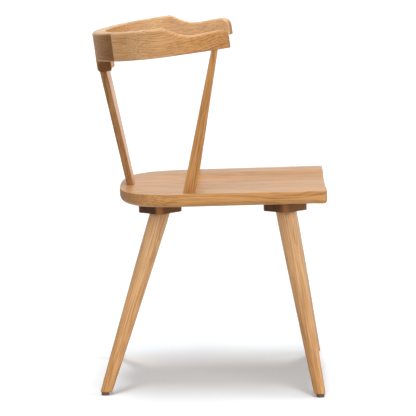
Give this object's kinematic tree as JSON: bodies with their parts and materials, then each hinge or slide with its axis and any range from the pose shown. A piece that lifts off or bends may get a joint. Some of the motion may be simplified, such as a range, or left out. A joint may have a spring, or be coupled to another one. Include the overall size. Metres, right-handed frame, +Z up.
{
  "type": "dining chair",
  "caption": "Wooden dining chair with a dished board seat, splayed round legs on dark blocks, a leaning back splat, slim posts and a curved crest rail with short arms.",
  "frame": {"origin": "middle of the chair's overall box, on the floor under its four glides", "axes": "+Z up, -Y the way the sitter faces, +X to the sitter's left"},
  "size_m": [0.5604, 0.5182, 0.8052],
  "materials": {
    "oak": "satin oiled oak",
    "dark_wood": "dark stained wood, satin",
    "beech": "raw beech",
    "glide_plastic": "moulded nylon",
    "steel": "zinc plated"
  },
  "bodies": {
    "root": {"seat_board_1": "oak", "seat_board_2": "oak", "seat_board_3": "oak", "seat_board_4": "oak", "seat_board_5": "oak", "leg_front_left": "oak", "leg_block_front_left": "dark_wood", "hanger_bolt_front_left": "steel", "threaded_sleeve_front_left": "steel", "block_screw_front_left_1": "steel", "block_screw_front_left_2": "steel", "foot_glide_front_left": "glide_plastic", "glide_nail_front_left": "steel", "leg_front_right": "oak", "leg_block_front_right": "dark_wood", "hanger_bolt_front_right": "steel", "threaded_sleeve_front_right": "steel", "block_screw_front_right_1": "steel", "block_screw_front_right_2": "steel", "foot_glide_front_right": "glide_plastic", "glide_nail_front_right": "steel", "leg_rear_left": "oak", "leg_block_rear_left": "dark_wood", "hanger_bolt_rear_left": "steel", "threaded_sleeve_rear_left": "steel", "block_screw_rear_left_1": "steel", "block_screw_rear_left_2": "steel", "foot_glide_rear_left": "glide_plastic", "glide_nail_rear_left": "steel", "leg_rear_right": "oak", "leg_block_rear_right": "dark_wood", "hanger_bolt_rear_right": "steel", "threaded_sleeve_rear_right": "steel", "block_screw_rear_right_1": "steel", "block_screw_rear_right_2": "steel", "foot_glide_rear_right": "glide_plastic", "glide_nail_rear_right": "steel", "back_splat": "oak", "arm_post_left": "oak", "arm_post_right": "oak", "crest_centre": "oak", "crest_shoulder_left": "oak", "crest_arm_left": "oak", "crest_shoulder_right": "oak", "crest_arm_right": "oak", "crest_dowel_shoulder_left_low": "beech", "crest_dowel_shoulder_left_high": "beech", "crest_dowel_arm_left_low": "beech", "crest_dowel_arm_left_high": "beech", "crest_dowel_shoulder_right_low": "beech", "crest_dowel_shoulder_right_high": "beech", "crest_dowel_arm_right_low": "beech", "crest_dowel_arm_right_high": "beech"}
  },
  "joints": []
}
